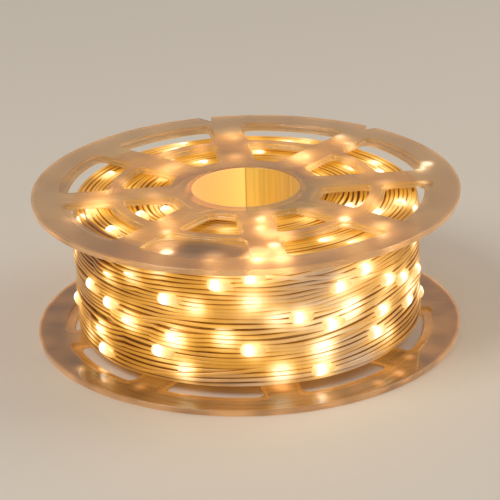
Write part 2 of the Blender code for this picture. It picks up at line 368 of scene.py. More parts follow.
def frosted_polypropylene(name, glow):
    """Moulded polypropylene, etched matt: it blurs what lies behind, and the lamps' light spread in it is a
    painted glow, by radius and in uneven patches.
    """
    material, tree, shader = new_material(name)
    place = add(tree, "ShaderNodeTexCoord").outputs["Object"]
    cloud = add(tree, "ShaderNodeTexNoise", Vector=place, Scale=45.0, Detail=3.0)
    tint = add(tree, "ShaderNodeValToRGB", Fac=cloud.outputs["Fac"])
    ramp_colours(tint, [(0.35, "#D6B07C"), (0.68, "#E3C598")])
    grain = add(tree, "ShaderNodeTexNoise", Vector=place, Scale=1500.0, Detail=2.0)
    wave = add(tree, "ShaderNodeTexNoise", Vector=place, Scale=120.0, Detail=1.0)
    etched = add(tree, "ShaderNodeBump", Strength=0.18, Distance=0.06 * MM, Height=grain.outputs["Fac"])
    sunk = add(
        tree, "ShaderNodeBump", Strength=0.25, Distance=0.25 * MM,
        Height=wave.outputs["Fac"], Normal=etched.outputs["Normal"],
    )
    haze = add(tree, "ShaderNodeMapRange", Value=cloud.outputs["Fac"], i3=0.21, i4=0.29)
    flat = add(tree, "ShaderNodeVectorMath", {"operation": "MULTIPLY"}, i0=place, i1=(1, 1, 0))
    reach = add(tree, "ShaderNodeVectorMath", {"operation": "LENGTH"}, i0=flat.outputs["Vector"])
    share = add(tree, "ShaderNodeMapRange", Value=reach.outputs["Value"], i2=FLANGE_RADIUS)
    spread = add(tree, "ShaderNodeValToRGB", Fac=share.outputs["Result"])
    ramp_colours(spread, glow)
    pools = add(tree, "ShaderNodeTexNoise", Vector=place, Scale=85.0, Detail=1.5)
    uneven = add(tree, "ShaderNodeMapRange", Value=pools.outputs["Fac"], i1=0.3, i2=0.7, i3=0.55, i4=1.35)
    light = add(
        tree, "ShaderNodeVectorMath", {"operation": "SCALE"},
        Vector=spread.outputs["Color"], Scale=uneven.outputs["Result"],
    )
    tree.links.new(tint.outputs["Color"], shader.inputs["Base Color"])
    tree.links.new(haze.outputs["Result"], shader.inputs["Roughness"])
    tree.links.new(sunk.outputs["Normal"], shader.inputs["Normal"])
    tree.links.new(light.outputs["Vector"], shader.inputs["Emission Color"])
    set_shader(
        shader, Emission_Strength=1.0, IOR=1.49, Transmission_Weight=0.90, Coat_Weight=1.0,
        Coat_Roughness=0.07,
    )
    return material


def shade_closed_window(material):
    """The closed window's thin panel is out of the lamps' light: a soft brown patch in the flange."""
    tree = material.node_tree
    shader = tree.nodes["Principled BSDF"]
    middle = polar((OUTER_WINDOW[0] + OUTER_WINDOW[1]) / 2, closed_azimuth)
    turned_back = add(
        tree, "ShaderNodeVectorRotate", {"rotation_type": "Z_AXIS"},
        Vector=tree.nodes["Texture Coordinate"].outputs["Object"],
        Center=middle, Angle=-math.radians(closed_azimuth),
    )
    from_middle = add(
        tree, "ShaderNodeVectorMath", {"operation": "SUBTRACT"},
        i0=turned_back.outputs["Vector"], i1=middle,
    )
    in_panels = add(
        tree, "ShaderNodeVectorMath", {"operation": "MULTIPLY"},
        i0=from_middle.outputs["Vector"], i1=(1 / HALF_PANEL[0], 1 / HALF_PANEL[1], 0),
    )
    off = add(tree, "ShaderNodeVectorMath", {"operation": "LENGTH"}, i0=in_panels.outputs["Vector"])
    shade = add(tree, "ShaderNodeValToRGB", Fac=off.outputs["Value"])
    ramp_colours(shade, [(0.3, (0.40, 0.37, 0.36, 1)), (0.75, (0.64, 0.61, 0.60, 1)), (1.0, grey(1))])
    shade.color_ramp.interpolation = "EASE"
    for name in ("Base Color", "Emission Color"):
        shaded = add(
            tree, "ShaderNodeVectorMath", {"operation": "MULTIPLY"},
            i0=shader.inputs[name].links[0].from_socket, i1=shade.outputs["Color"],
        )
        tree.links.new(shaded.outputs["Vector"], shader.inputs[name])


def lit_drum_wall():
    """The drum's thin wall, with a painted glow of the inner turns behind it: brighter on the smooth left
    half, darker on the finely ribbed right half, whose ribs are painted stripes of light and shade, and a
    darker line between the halves.
    """
    material, tree, shader = new_material("polypropylene_drum_wall_lit")
    place = add(tree, "ShaderNodeTexCoord").outputs["Object"]
    split = add(tree, "ShaderNodeSeparateXYZ", Vector=place)
    across = add(tree, "ShaderNodeMapRange", Value=split.outputs["X"], i1=-BORE_RADIUS, i2=BORE_RADIUS)
    tone = add(tree, "ShaderNodeValToRGB", Fac=across.outputs["Result"])
    ramp_colours(tone, [
        (0.0, "#E3B273"), (0.2, "#F0BE70"), (0.494, "#FFCF74"), (0.503, "#A87222"),
        (0.512, "#D4B455"), (0.75, "#BC953E"), (1.0, "#AA894D"),
    ])
    flat = add(tree, "ShaderNodeVectorMath", {"operation": "MULTIPLY"}, i0=place, i1=(1, 1, 0.02))
    ribs = add(tree, "ShaderNodeTexNoise", Vector=flat.outputs["Vector"], Scale=900.0, Detail=2.0)
    ribbed = add(tree, "ShaderNodeMapRange", Value=across.outputs["Result"], i1=0.5, i2=0.56, i4=0.5)
    shade = add(tree, "ShaderNodeMapRange", Value=ribs.outputs["Fac"], i1=0.35, i2=0.65, i3=1.15, i4=0.72)
    even = add(
        tree, "ShaderNodeMix", {"data_type": "FLOAT"}, i0=ribbed.outputs["Result"],
        i2=1.0, i3=shade.outputs["Result"],
    )
    light = add(
        tree, "ShaderNodeVectorMath", {"operation": "SCALE"},
        Vector=tone.outputs["Color"], Scale=even.outputs[0],
    )
    shine(tree, shader, light.outputs["Vector"])
    set_shader(shader, Emission_Strength=0.6, Roughness=0.42, IOR=1.49)
    return material


# Painted glow of the lamps' light in each flange, by share of the flange's radius; the last, lighter stop
# is a painted highlight along the rim's edge.
upper_glow = [
    (0.25, "#2C2814"), (0.32, "#55401E"), (0.44, "#6A4E1E"), (0.66, "#6A4E1E"),
    (0.80, "#5C441C"), (0.86, "#46321A"), (0.985, "#402C1A"), (1.0, "#7E5E3C"),
]
lower_glow = [
    (0.0, "#5E421C"), (0.62, "#6A481E"), (0.82, "#66461E"), (0.90, "#54391C"),
    (0.985, "#5A3C20"), (1.0, "#967048"),
]
frosted_upper = frosted_polypropylene("frosted_polypropylene_upper", upper_glow)
frosted_lower = frosted_polypropylene("frosted_polypropylene_lower", lower_glow)
lit_wall = lit_drum_wall()
closed_azimuth = UPPER_SPOKE_AZIMUTH + 360.0 / SPOKES * (CLOSED_WINDOW + 0.5)
mating_height = REEL_HEIGHT / 2


def make_lower_half():
    full, web = flange_plates("spool_lower", 0.0, LOWER_SPOKE_AZIMUTH, False, None)
    wall = drum_wall("drum_lower", 0.0, mating_height)
    return unite(full, [web, wall])


def make_upper_half():
    low = REEL_HEIGHT - FLANGE_THICKNESS
    full, web = flange_plates("spool_upper", low, UPPER_SPOKE_AZIMUTH, True, CLOSED_WINDOW)
    socket_end = mating_height + SPIGOT_LENGTH + PLUG_GAP
    wall = drum_wall("drum_upper", mating_height + PLUG_GAP, REEL_HEIGHT, socket_end)
    return unite(full, [web, wall])


for name, make, node, frosted in (
    ("reel_lower_half", make_lower_half, "spool_lower_half", frosted_lower),
    ("reel_upper_half", make_upper_half, "spool_upper_half", frosted_upper),
):
    half = make()
    half.name = name
    half.data.materials.clear()
    half.data.materials.append(frosted)
    half.data.materials.append(lit_wall)
    for polygon in half.data.polygons:
        reach = polygon.center.xy.length
        if reach < BORE_RADIUS + KEY_STEP + 0.1 * MM and abs(polygon.normal.z) < 0.5:
            polygon.material_index = 1
    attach(half, "root")
    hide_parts(node)

# LEDs of the string
# Each is a small lamp chip on the two wires, with a drop of clear resin moulded round it.
# The chip sits near the blunt end, and the tail tapers along the wire.
LED_LENGTH = 8.4 * MM
LED_RADIUS = 2.15 * MM
LED_SIDES = 12
WINDING_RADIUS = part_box("wire_coil")[1][0]
WINDING_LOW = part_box("wire_coil")[0][2]
WINDING_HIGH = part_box("wire_coil")[1][2]

# LEDs under the outermost turns: azimuth in degrees, height over the table and depth in mm
BURIED_FACE_LEDS = (
    (253, 30.5, 1.6), (262, 20.3, 1.4), (249, 8.1, 1.2), (271, 32.1, 1.8), (305, 25.2, 1.0),
    (294, 14.0, 1.3), (280, 8.0, 1.4), (279, 26.6, 2.2), (189, 33.0, 1.2), (337, 21.0, 0.6),
    (240, 41.0, 1.4), (322, 11.0, 1.8), (205, 9.0, 1.6), (350, 15.0, 0.9), (343, 36.0, 0.8),
    (5, 38.0, 1.3), (20, 14.0, 1.4), (38, 30.0, 1.2), (55, 10.0, 1.6), (75, 24.0, 1.3), (87, 41.0, 1.6),
    (98, 34.0, 1.5), (112, 12.0, 1.2), (128, 26.0, 1.8), (150, 18.0, 1.3), (165, 33.0, 1.5),
    (176, 10.0, 1.4),
)
# LEDs among the turns of the upper end: azimuth in degrees, radius and depth in mm
EXTRA_END_LEDS = (
    (197, 54.5, 0.3), (213, 50.1, 0.0), (224, 51.8, 0.2), (204, 27.8, 0.1), (114, 54.3, 0.4),
    (116, 35.1, 0.2), (67, 53.7, 0.5), (52, 54.5, 0.3), (23, 48.3, 0.2), (338, 45.6, 0.1),
    (323, 40.0, 0.2), (308, 54.3, 0.2), (320, 54.8, 0.2), (280, 31.9, 0.1), (274, 54.2, 0.3),
    (282, 54.4, 0.4), (259, 54.2, 0.8), (243, 51.7, 0.3), (168, 40.0, 1.2), (60, 33.0, 0.8),
    (96, 29.0, 1.0), (231, 39.1, 1.0), (258, 30.7, 1.0), (311, 30.0, 0.8), (190, 30.2, 0.9),
    (33, 27.3, 0.3), (342, 35.0, 0.3), (110, 45.3, 0.8), (179, 45.5, 0.7), (57, 37.0, 0.5),
    (222, 35.5, 0.6), (51, 31.4, 0.4), (95, 51.0, 0.5), (136, 33.0, 0.6), (286, 23.5, 0.3),
    (346, 55.0, 0.3),
)
# Face LEDs that a few turns run over: azimuth in degrees and height in mm
COVERED_FACE_LEDS = ((219.3, 35.3), (229.8, 38.6), (228.8, 21.9), (215.4, 13.9), (246.2, 19.2))
# How much more such LEDs light the turns round them than one that lies free
BURIED_SHARE = 3.6
END_SHARE = 1.3
COVERED_SHARE = 2.6


def led_seats():
    """Places of all LEDs as (centre, direction along the wire, way out of the winding)."""
    seats = []
    for name in sorted(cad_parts):
        if name.startswith("led_bead"):
            low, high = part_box(name)
            centre = (Vector(low) + Vector(high)) / 2
            on_end = high[2] > WINDING_HIGH - 0.05 * MM and centre.xy.length < WINDING_RADIUS - 3 * MM
            azimuth = math.degrees(math.atan2(centre.y, centre.x))
            out = Vector((0, 0, 1)) if on_end else polar(1.0, azimuth)
            seats.append((centre, polar(1.0, azimuth + 90), out))
    for azimuth, height, depth in BURIED_FACE_LEDS:
        centre = polar(WINDING_RADIUS - LED_RADIUS - depth * MM, azimuth, height * MM)
        seats.append((centre, polar(1.0, azimuth + 90), polar(1.0, azimuth)))
    for azimuth, radius, depth in EXTRA_END_LEDS:
        centre = polar(radius * MM, azimuth, WINDING_HIGH - LED_RADIUS - depth * MM)
        seats.append((centre, polar(1.0, azimuth + 90), Vector((0, 0, 1))))
    return seats


seats = led_seats()
covered = []
for azimuth, height in COVERED_FACE_LEDS:
    guess = polar(WINDING_RADIUS - LED_RADIUS, azimuth, height * MM)
    covered.append(min(range(len(seats)), key=lambda index: (seats[index][0] - guess).length))
lamp_places = np.array([tuple(centre) for centre, along, out in seats])
lamp_shares = [1.0] * (len(seats) - len(BURIED_FACE_LEDS) - len(EXTRA_END_LEDS))
lamp_shares += [BURIED_SHARE] * len(BURIED_FACE_LEDS) + [END_SHARE] * len(EXTRA_END_LEDS)
for index in covered:
    lamp_shares[index] = COVERED_SHARE


def led_template():
    """One resin drop along X, round at the chip's end and tapered to the wires."""
    stations = (
        (-1.0, 0.0), (-0.97, 0.42), (-0.88, 0.74), (-0.72, 0.93), (-0.50, 1.0), (-0.22, 1.0), (0.08, 0.97),
        (0.38, 0.88), (0.64, 0.74), (0.84, 0.56), (0.96, 0.36), (1.0, 0.0),
    )
    shape = bmesh.new()
    store_along = shape.verts.layers.float.new("along")
    store_crown = shape.verts.layers.float.new("crown")
    rings = []
    for share, width in stations:
        count = 1 if width == 0 else LED_SIDES
        ring = []
        for i in range(count):
            turn = 2 * math.pi * i / LED_SIDES
            vert = shape.verts.new((
                share * LED_LENGTH / 2,
                width * LED_RADIUS * math.cos(turn),
                width * LED_RADIUS * math.sin(turn),
            ))
            vert[store_along] = share
            vert[store_crown] = width * math.sin(turn)
            ring.append(vert)
        rings.append(ring)
    for ring, following in zip(rings, rings[1:]):
        for i in range(LED_SIDES):
            j = (i + 1) % LED_SIDES
            if len(ring) == 1:
                shape.faces.new((ring[0], following[j], following[i]))
            elif len(following) == 1:
                shape.faces.new((ring[i], ring[j], following[0]))
            else:
                shape.faces.new((ring[i], ring[j], following[j], following[i]))
    bmesh.ops.recalc_face_normals(shape, faces=shape.faces)
    mesh = bpy.data.meshes.new("led_template")
    shape.to_mesh(mesh)
    shape.free()
    mesh.shade_smooth()
    return in_scene("led_template", mesh)


def clear_resin():
    """Clear cast epoxy, lit from inside: the chip's end glares white, the tail glows cream."""
    material, tree, shader = new_material("clear_epoxy_resin_lit")
    along, crown = (
        add(tree, "ShaderNodeAttribute", {"attribute_name": name}).outputs["Fac"]
        for name in ("along", "crown")
    )
    share = add(tree, "ShaderNodeMapRange", Value=along, i1=-1.0, i2=1.0)
    colour = add(tree, "ShaderNodeValToRGB", Fac=share.outputs["Result"])
    ramp_colours(colour, [
        (0.0, "#FFD48A"), (0.14, "#FFE4AE"), (0.30, "#FFF6E2"),
        (0.50, "#FFE3A6"), (0.75, "#FFD88E"), (1.0, "#F5BE62"),
    ])
    body = add(tree, "ShaderNodeValToRGB", Fac=share.outputs["Result"])
    ramp_colours(body, [(0.0, grey(0.60)), (0.30, grey(0.90)), (0.70, grey(0.72)), (1.0, grey(0.50))])
    chip = add(tree, "ShaderNodeValToRGB", Fac=share.outputs["Result"])
    ramp_colours(chip, [(0.10, grey(0)), (0.32, grey(1)), (0.40, grey(1)), (0.68, grey(0))])
    chip.color_ramp.interpolation = "EASE"
    facing = add(tree, "ShaderNodeMapRange", Value=crown, i1=0.35, i2=1.0, i3=0.0, i4=1.8)
    core = add(
        tree, "ShaderNodeMath", {"operation": "MULTIPLY"},
        i0=chip.outputs["Color"], i1=facing.outputs["Result"],
    )
    strength = add(
        tree, "ShaderNodeMath", {"operation": "ADD"}, i0=body.outputs["Color"], i1=core.outputs["Value"],
    )
    shine(tree, shader, colour.outputs["Color"])
    tree.links.new(strength.outputs["Value"], shader.inputs["Emission Strength"])
    set_shader(shader, Roughness=0.12, IOR=1.54, Coat_Weight=0.5)
    return material


def end_tree(tree, geometry, material):
    """Makes a node tree's pieces real, gives them their material and hands them out."""
    real = add(tree, "GeometryNodeRealizeInstances", Geometry=geometry)
    finish = add(tree, "GeometryNodeSetMaterial", Geometry=real.outputs[0], Material=material)
    end = add(tree, "NodeGroupOutput")
    tree.links.new(finish.outputs[0], end.inputs[0])


def instances_tree(template, material):
    """Puts one drop at each point, along the point's wire, and makes the drops real."""
    tree = bpy.data.node_groups.new("led_drops", "GeometryNodeTree")
    tree.interface.new_socket("Seats", in_out="INPUT", socket_type="NodeSocketGeometry")
    size = tree.interface.new_socket("Size", in_out="INPUT", socket_type="NodeSocketFloat")
    tree.interface.new_socket("Drops", in_out="OUTPUT", socket_type="NodeSocketGeometry")
    given = add(tree, "NodeGroupInput")
    info = add(tree, "GeometryNodeObjectInfo", i0=template)
    along = add(tree, "GeometryNodeInputNamedAttribute", {"data_type": "FLOAT_VECTOR"}, Name="wire")
    out = add(tree, "GeometryNodeInputNamedAttribute", {"data_type": "FLOAT_VECTOR"}, Name="out")
    lay = add(tree, "FunctionNodeAlignRotationToVector", {"axis": "X"}, Vector=along.outputs[0])
    face = add(
        tree, "FunctionNodeAlignRotationToVector", {"axis": "Z", "pivot_axis": "X"},
        Rotation=lay.outputs[0], Vector=out.outputs[0],
    )
    placed = add(
        tree, "GeometryNodeInstanceOnPoints", Points=given.outputs["Seats"],
        Instance=info.outputs["Geometry"], Rotation=face.outputs[0], Scale=given.outputs["Size"],
    )
    end_tree(tree, placed.outputs[0], material)
    return tree, size.identifier


def make_leds():
    random.seed(7)
    mesh = bpy.data.meshes.new("string_leds")
    mesh.from_pydata([tuple(centre) for centre, along, out in seats], [], [])
    wire = mesh.attributes.new("wire", "FLOAT_VECTOR", "POINT")
    outward = mesh.attributes.new("out", "FLOAT_VECTOR", "POINT")
    for index, (centre, along, out) in enumerate(seats):
        side = out.cross(along)
        wire.data[index].vector = (along + side * random.uniform(-0.10, 0.10)).normalized()
        outward.data[index].vector = out
    piece = in_scene("string_leds", mesh)
    template = led_template()
    tree, size = instances_tree(template, clear_resin())
    modifier = piece.modifiers.new("Drops", "NODES")
    modifier.node_group = tree
    modifier[size] = 1.0
    piece = applied(piece)
    bpy.data.objects.remove(template)
    return piece


def pools_through_plastic(material, height, spots, tones):
    """Lamps close under a flange show through its frosted plastic as soft pools of light."""
    tree = material.node_tree
    shader = tree.nodes["Principled BSDF"]
    place = tree.nodes["Texture Coordinate"].outputs["Object"]
    total = 0.0
    for spot, reach, weight in spots:
        off = add(
            tree, "ShaderNodeVectorMath", {"operation": "DISTANCE"}, i0=place, i1=(spot.x, spot.y, height),
        )
        pool = add(
            tree, "ShaderNodeMapRange", {"interpolation_type": "SMOOTHERSTEP"},
            Value=off.outputs["Value"], i1=0.0, i2=reach, i3=weight, i4=0.0,
        )
        total = add(
            tree, "ShaderNodeMath", {"operation": "ADD"}, i0=pool.outputs["Result"], i1=total,
        ).outputs["Value"]
    tone = add(tree, "ShaderNodeValToRGB", Fac=total)
    ramp_colours(tone, tones)
    both = add(
        tree, "ShaderNodeVectorMath", {"operation": "ADD"},
        i0=shader.inputs["Emission Color"].links[0].from_socket, i1=tone.outputs["Color"],
    )
    tree.links.new(both.outputs["Vector"], shader.inputs["Emission Color"])


pool_tones = [
    (0.0, "#000000"), (0.3, "#3E2C14"), (0.56, "#6A4C2C"), (0.76, "#92704A"),
    (1.0, "#B89268"),
]
core_tones = [(0.0, "#000000"), (0.4, "#6A5232"), (1.0, "#FFF2D8")]
# Where a lamp close under the upper flange, or its mirror image, shows as a small bright core:
# azimuth in degrees, radius in mm and strength
CORES = (
    (15.7, 62.8, 1.0), (12.2, 59.2, 0.9), (54.2, 56.1, 0.7), (46.9, 52.1, 0.6), (244.1, 56.8, 1.0),
    (315.4, 43.4, 1.0), (272.8, 61.5, 0.9), (279.5, 61.6, 0.6), (279.4, 50.8, 1.0), (278.7, 28.8, 0.8),
    (276.3, 36.8, 0.7), (313.6, 61.1, 0.6), (259.3, 60.9, 0.5), (235.8, 44.6, 0.7),
)
# Where the lower flange mirrors a lamp of the face
LOWER_GLINTS = (
    (290, 64.5), (308, 65.5), (316, 65.5), (327, 61.0), (235, 61.0), (224, 64.0),
    (217, 59.0), (248, 57.5), (213, 65.0),
)
# Where many lamps of the face light the front of both flanges, as azimuths in degrees
UPPER_FRONT = (262, 280, 298, 316)
LOWER_FRONT = (268, 285, 302, 319, 336, 353)
# Where lamps deeper in the winding light a spoke or the rim softly
PLASTIC_GLOWS = (
    (191.1, 45.4), (0.7, 45.5), (276.8, 40.1), (272.6, 61.5), (279.5, 62.0), (204.0, 34.0), (202.9, 59.5),
    (288, 42.4),
)
LAMP_POOL = 7.2 * MM
LAMP_WEIGHT = 0.76
GLINT_POOL = 4.4 * MM
GLINT_WEIGHT = 0.7
CORE_POOL = 4.6 * MM
FRONT_RADIUS = 61.0 * MM
FRONT_POOL = 13.0 * MM
UPPER_FRONT_WEIGHT = 0.46
LOWER_FRONT_WEIGHT = 0.3
LAMP_DEPTH = 7 * MM
cores = [(polar(radius * MM, azimuth), CORE_POOL, strength) for azimuth, radius, strength in CORES]
lower_glints = [(polar(radius * MM, azimuth), GLINT_POOL, GLINT_WEIGHT) for azimuth, radius in LOWER_GLINTS]
glows = [(polar(radius * MM, azimuth), LAMP_POOL, LAMP_WEIGHT) for azimuth, radius in PLASTIC_GLOWS]
glows += [(polar(FRONT_RADIUS, azimuth), FRONT_POOL, UPPER_FRONT_WEIGHT) for azimuth in UPPER_FRONT]
lower_glows = [(polar(FRONT_RADIUS, azimuth), FRONT_POOL, LOWER_FRONT_WEIGHT) for azimuth in LOWER_FRONT]
lamps = [(centre, LAMP_POOL, LAMP_WEIGHT) for centre, along, out in seats]
high_lamps = [lamp for lamp in lamps if lamp[0].z > WINDING_HIGH - LAMP_DEPTH]
low_lamps = [lamp for lamp in lamps if lamp[0].z < WINDING_LOW + LAMP_DEPTH]
upper_middle = REEL_HEIGHT - FLANGE_THICKNESS / 2
lower_middle = FLANGE_THICKNESS / 2
pools_through_plastic(frosted_upper, upper_middle, high_lamps + glows, pool_tones)
pools_through_plastic(frosted_lower, lower_middle, low_lamps + lower_glints + lower_glows, pool_tones)
shade_closed_window(frosted_upper)
pools_through_plastic(frosted_upper, upper_middle, cores, core_tones)
leds = make_leds()
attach(leds, "root")
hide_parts(*[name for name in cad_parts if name.startswith("led_bead")])

# Wound string
# Fine copper wire in clear soft PVC, machine wound in turns that slip and cross a little.
# The lamps' light inside it is painted as a golden glow, with painted shade in the gaps between the turns.
WIRE_DIAMETER = 1.47 * MM
FACE_TURNS = 29
FACE_STEPS = 168
UNDER_STEPS = 96
FACE_SHOULDER = 1.6 * MM
END_TURNS = 23
END_STEPS = 132
END_START = 20.5 * MM
# The turns fan up to the right of one azimuth, and come down again round the back
FAN_AZIMUTH = 285.0
FAN_RISE = 62.0
FAN_FALL = 200.0
FAN_LIFT = 5.5 * MM
# How unevenly they lie: in bundles, with a fine wander and a sag of single turns
BUNDLE_TURNS = 5.3
BUNDLE_SHIFT = 0.27 * MM
FACE_WANDER = 0.16 * MM
FACE_SAG = 0.32 * MM
END_WANDER = 0.5 * MM
END_SAG = 0.55 * MM
# Loose turns stay clear of both ends, drift by so much and lie on the others
CROSSING_MARGIN = 2.5 * MM
CROSSING_DRIFT = 7.0 * MM
CROSSING_LIFT = 0.35 * MM
CROSSING_DIP = 2.2 * MM
CROSSING_STEPS = 40
# A turn stands out by this much over a covered LED
COVER_LIFT = 1.5 * MM
# The mass inside is a sleeve round the drum, a little under the outer turns
CORE_BORE = 20.6 * MM
CORE_DEPTH = 3.4 * MM
CORE_UNDER_END = 2.6 * MM


def unevenness(azimuth, row, scale, seed):
    """Smooth noise from -1 to 1 along a turn, alike in turns that lie close together."""
    turn = math.radians(azimuth)
    return noise.noise(Vector((1.3 * math.cos(turn), 1.3 * math.sin(turn), row * scale))
                       + Vector((seed, seed * 0.7, 0)))


def shoulder(height):
    """Radius of the winding's crest at a height: it draws in towards both ends."""
    to_end = min(height - WINDING_LOW, WINDING_HIGH - height)
    reach = 2 * FACE_SHOULDER
    if to_end >= reach:
        return WINDING_RADIUS
    return WINDING_RADIUS - FACE_SHOULDER * (1 - max(0.0, to_end) / reach) ** 2


def lean(azimuth, share):
    """How far the turns ride up on the right of the winding, where they fan together."""
    turn = (azimuth - FAN_AZIMUTH) % 360.0
    rise = min(1.0, turn / FAN_RISE)
    fall = min(1.0, (360.0 - turn) / FAN_FALL)
    swing = rise * rise * (3 - 2 * rise) * fall * fall * (3 - 2 * fall)
    return FAN_LIFT * swing * math.sin(math.pi * share) ** 0.8


def bundled(place, azimuth):
    """Turns lie in bundles of five or six whose borders wander round the winding."""
    drift = 1.6 * unevenness(azimuth, place, 0.05, 61.0)
    return BUNDLE_SHIFT * math.sin(2 * math.pi * (place / BUNDLE_TURNS + drift))


def pushed_out(azimuth, height):
    """How far a turn stands out where it runs over one of the covered LEDs."""
    push = 0.0
    for index in covered:
        centre = seats[index][0]
        place = polar(centre.xy.length, azimuth, height)
        along = (place.xy - centre.xy).length / (1.1 * LED_LENGTH)
        across = abs(height - centre.z) / (1.5 * LED_RADIUS)
        near = max(0.0, 1 - along ** 2) * max(0.0, 1 - across ** 4)
        push = max(push, COVER_LIFT * near ** 0.5)
    return push


def face_turns(turns, steps, sunk, spread, seed):
    """Lines of one layer of the face as a single helix, from the lower flange up."""
    low = WINDING_LOW + WIRE_DIAMETER / 2
    high = WINDING_HIGH - WIRE_DIAMETER / 2
    points = []
    for row in range(turns):
        for step in range(steps):
            azimuth = 360.0 * step / steps
            place = row + step / steps
            share = place / turns
            edge = math.sin(math.pi * share) ** 0.5
            height = low + (high - low) * share + lean(azimuth, share)
            height += spread * edge * unevenness(azimuth, place, 0.16, seed)
            height += edge * bundled(place, azimuth)
            height += FACE_WANDER * edge * unevenness(azimuth, place, 0.9, seed + 9)
            height = min(high, max(low, height))
            radius = shoulder(height) - WIRE_DIAMETER / 2 - sunk
            radius -= FACE_SAG * (1 + unevenness(azimuth, place, 0.55, seed + 3))
            radius += pushed_out(azimuth, height)
            points.append(polar(radius, azimuth, height))
    return points


def crossing_turns(count, seed):
    """Loose turns that slipped over their neighbours and run across them at a slant."""
    random.seed(seed)
    low = WINDING_LOW + CROSSING_MARGIN
    high = WINDING_HIGH - CROSSING_MARGIN
    lines = []
    for index in range(count):
        start = random.uniform(0, 360)
        span = random.uniform(55, 120)
        foot = random.uniform(low, high)
        top = min(high, max(low, foot + random.uniform(-1, 1) * CROSSING_DRIFT))
        line = []
        for step in range(CROSSING_STEPS + 1):
            share = step / CROSSING_STEPS
            azimuth = start + span * share
            eased = share * share * (3 - 2 * share)
            height = foot + (top - foot) * eased + lean(azimuth, (foot - low) / (high - low)) * 0.6
            lift = CROSSING_LIFT - CROSSING_DIP * (1 - math.sin(math.pi * share) ** 0.35)
            height = min(high, height)
            line.append(polar(shoulder(height) - WIRE_DIAMETER / 2 + lift, azimuth, height))
        lines.append(line)
    return lines


def end_turns(turns, steps, level, way, spread, seed):
    """Lines of one layer of an end as a spiral, from the drum outwards."""
    inner = END_START + WIRE_DIAMETER / 2
    outer = WINDING_RADIUS - FACE_SHOULDER - WIRE_DIAMETER / 2
    points = []
    for row in range(turns):
        for step in range(steps):
            azimuth = 360.0 * step / steps
            place = row + step / steps
            share = place / turns
            edge = math.sin(math.pi * share) ** 0.5
            radius = inner + (outer - inner) * share
            radius += spread * edge * unevenness(azimuth, place, 0.22, seed)
            radius += END_WANDER * edge * unevenness(azimuth, place, 0.9, seed + 5)
            sag = END_SAG * (1 + unevenness(azimuth, place, 0.45, seed + 2))
            points.append(polar(min(outer, max(inner, radius)), azimuth, level - way * sag))
    return points


def wire_tree(material):
    """Turns lines into round wires of one diameter."""
    tree = bpy.data.node_groups.new("round_wires", "GeometryNodeTree")
    tree.interface.new_socket("Lines", in_out="INPUT", socket_type="NodeSocketGeometry")
    diameter = tree.interface.new_socket("Wire Diameter", in_out="INPUT", socket_type="NodeSocketFloat")
    sides = tree.interface.new_socket("Sides", in_out="INPUT", socket_type="NodeSocketInt")
    tree.interface.new_socket("Wires", in_out="OUTPUT", socket_type="NodeSocketGeometry")
    given = add(tree, "NodeGroupInput")
    curves = add(tree, "GeometryNodeMeshToCurve", Mesh=given.outputs["Lines"])
    half = add(tree, "ShaderNodeMath", {"operation": "MULTIPLY"}, i0=given.outputs["Wire Diameter"], i1=0.5)
    section = add(
        tree, "GeometryNodeCurvePrimitiveCircle",
        Resolution=given.outputs["Sides"], Radius=half.outputs["Value"],
    )
    tubes = add(
        tree, "GeometryNodeCurveToMesh", Curve=curves.outputs["Curve"],
        **{"Profile Curve": section.outputs["Curve"], "Fill Caps": True},
    )
    smooth = add(tree, "GeometryNodeSetShadeSmooth", Geometry=tubes.outputs["Mesh"])
    end_tree(tree, smooth.outputs["Geometry"], material)
    return tree, diameter.identifier, sides.identifier


# How far a lamp's light reaches: strongly over a few turns, and faintly further on
NEAR_REACH = 2.4 * MM
FAR_REACH = 6.5 * MM
FAR_SHARE = 0.2


def light_on(places):
    """How much light of the lamps reaches some places, from 0 up."""
    total = np.zeros(len(places))
    for lamp, share in zip(lamp_places, lamp_shares):
        square = ((places - lamp) ** 2).sum(axis=1)
        total += share * np.exp(-square / (2 * NEAR_REACH ** 2))
        total += FAR_SHARE * np.exp(-square / (2 * FAR_REACH ** 2))
    return total


# Where the turns are painted pale, cream and lilac-grey rather than golden, the clear PVC with a painted
# sheen on it: azimuth and its spread in degrees, height and its spread in mm, and how much
PAINTED_SHEEN_STRETCHES = (
    (291, 15, 27, 9, 0.85), (303, 9, 13, 5, 0.6), (267, 15, 4, 2.6, 0.9),
    (306, 8, 5, 3, 0.9), (292, 10, 39, 3, 0.7), (20, 25, 20, 8, 0.6), (140, 30, 30, 8, 0.6),
)
# Where the lamps light the turns less, so that the gaps look deeper, in the same five values
DUSKY_STRETCHES = ((214, 20, 24, 40, 1.0), (340, 14, 24, 40, 1.0), (216, 22, 42, 7, 1.5))


def share_of(stretches, places, most):
    """How much some places belong to the listed stretches of the face."""
    total = np.zeros(len(places))
    azimuths = np.degrees(np.arctan2(places[:, 1], places[:, 0]))
    for azimuth, turn_spread, height, spread, amount in stretches:
        off = ((azimuths - azimuth + 180) % 360 - 180) / turn_spread
        rise = (places[:, 2] - height * MM) / (spread * MM)
        total += amount * np.exp(-(off ** 2 + rise ** 2) / 2)
    return np.clip(total, 0, most)


def store(mesh, name, values):
    layer = mesh.attributes.new(name, "FLOAT", "POINT")
    layer.data.foreach_set("value", np.asarray(values, dtype=np.float32))


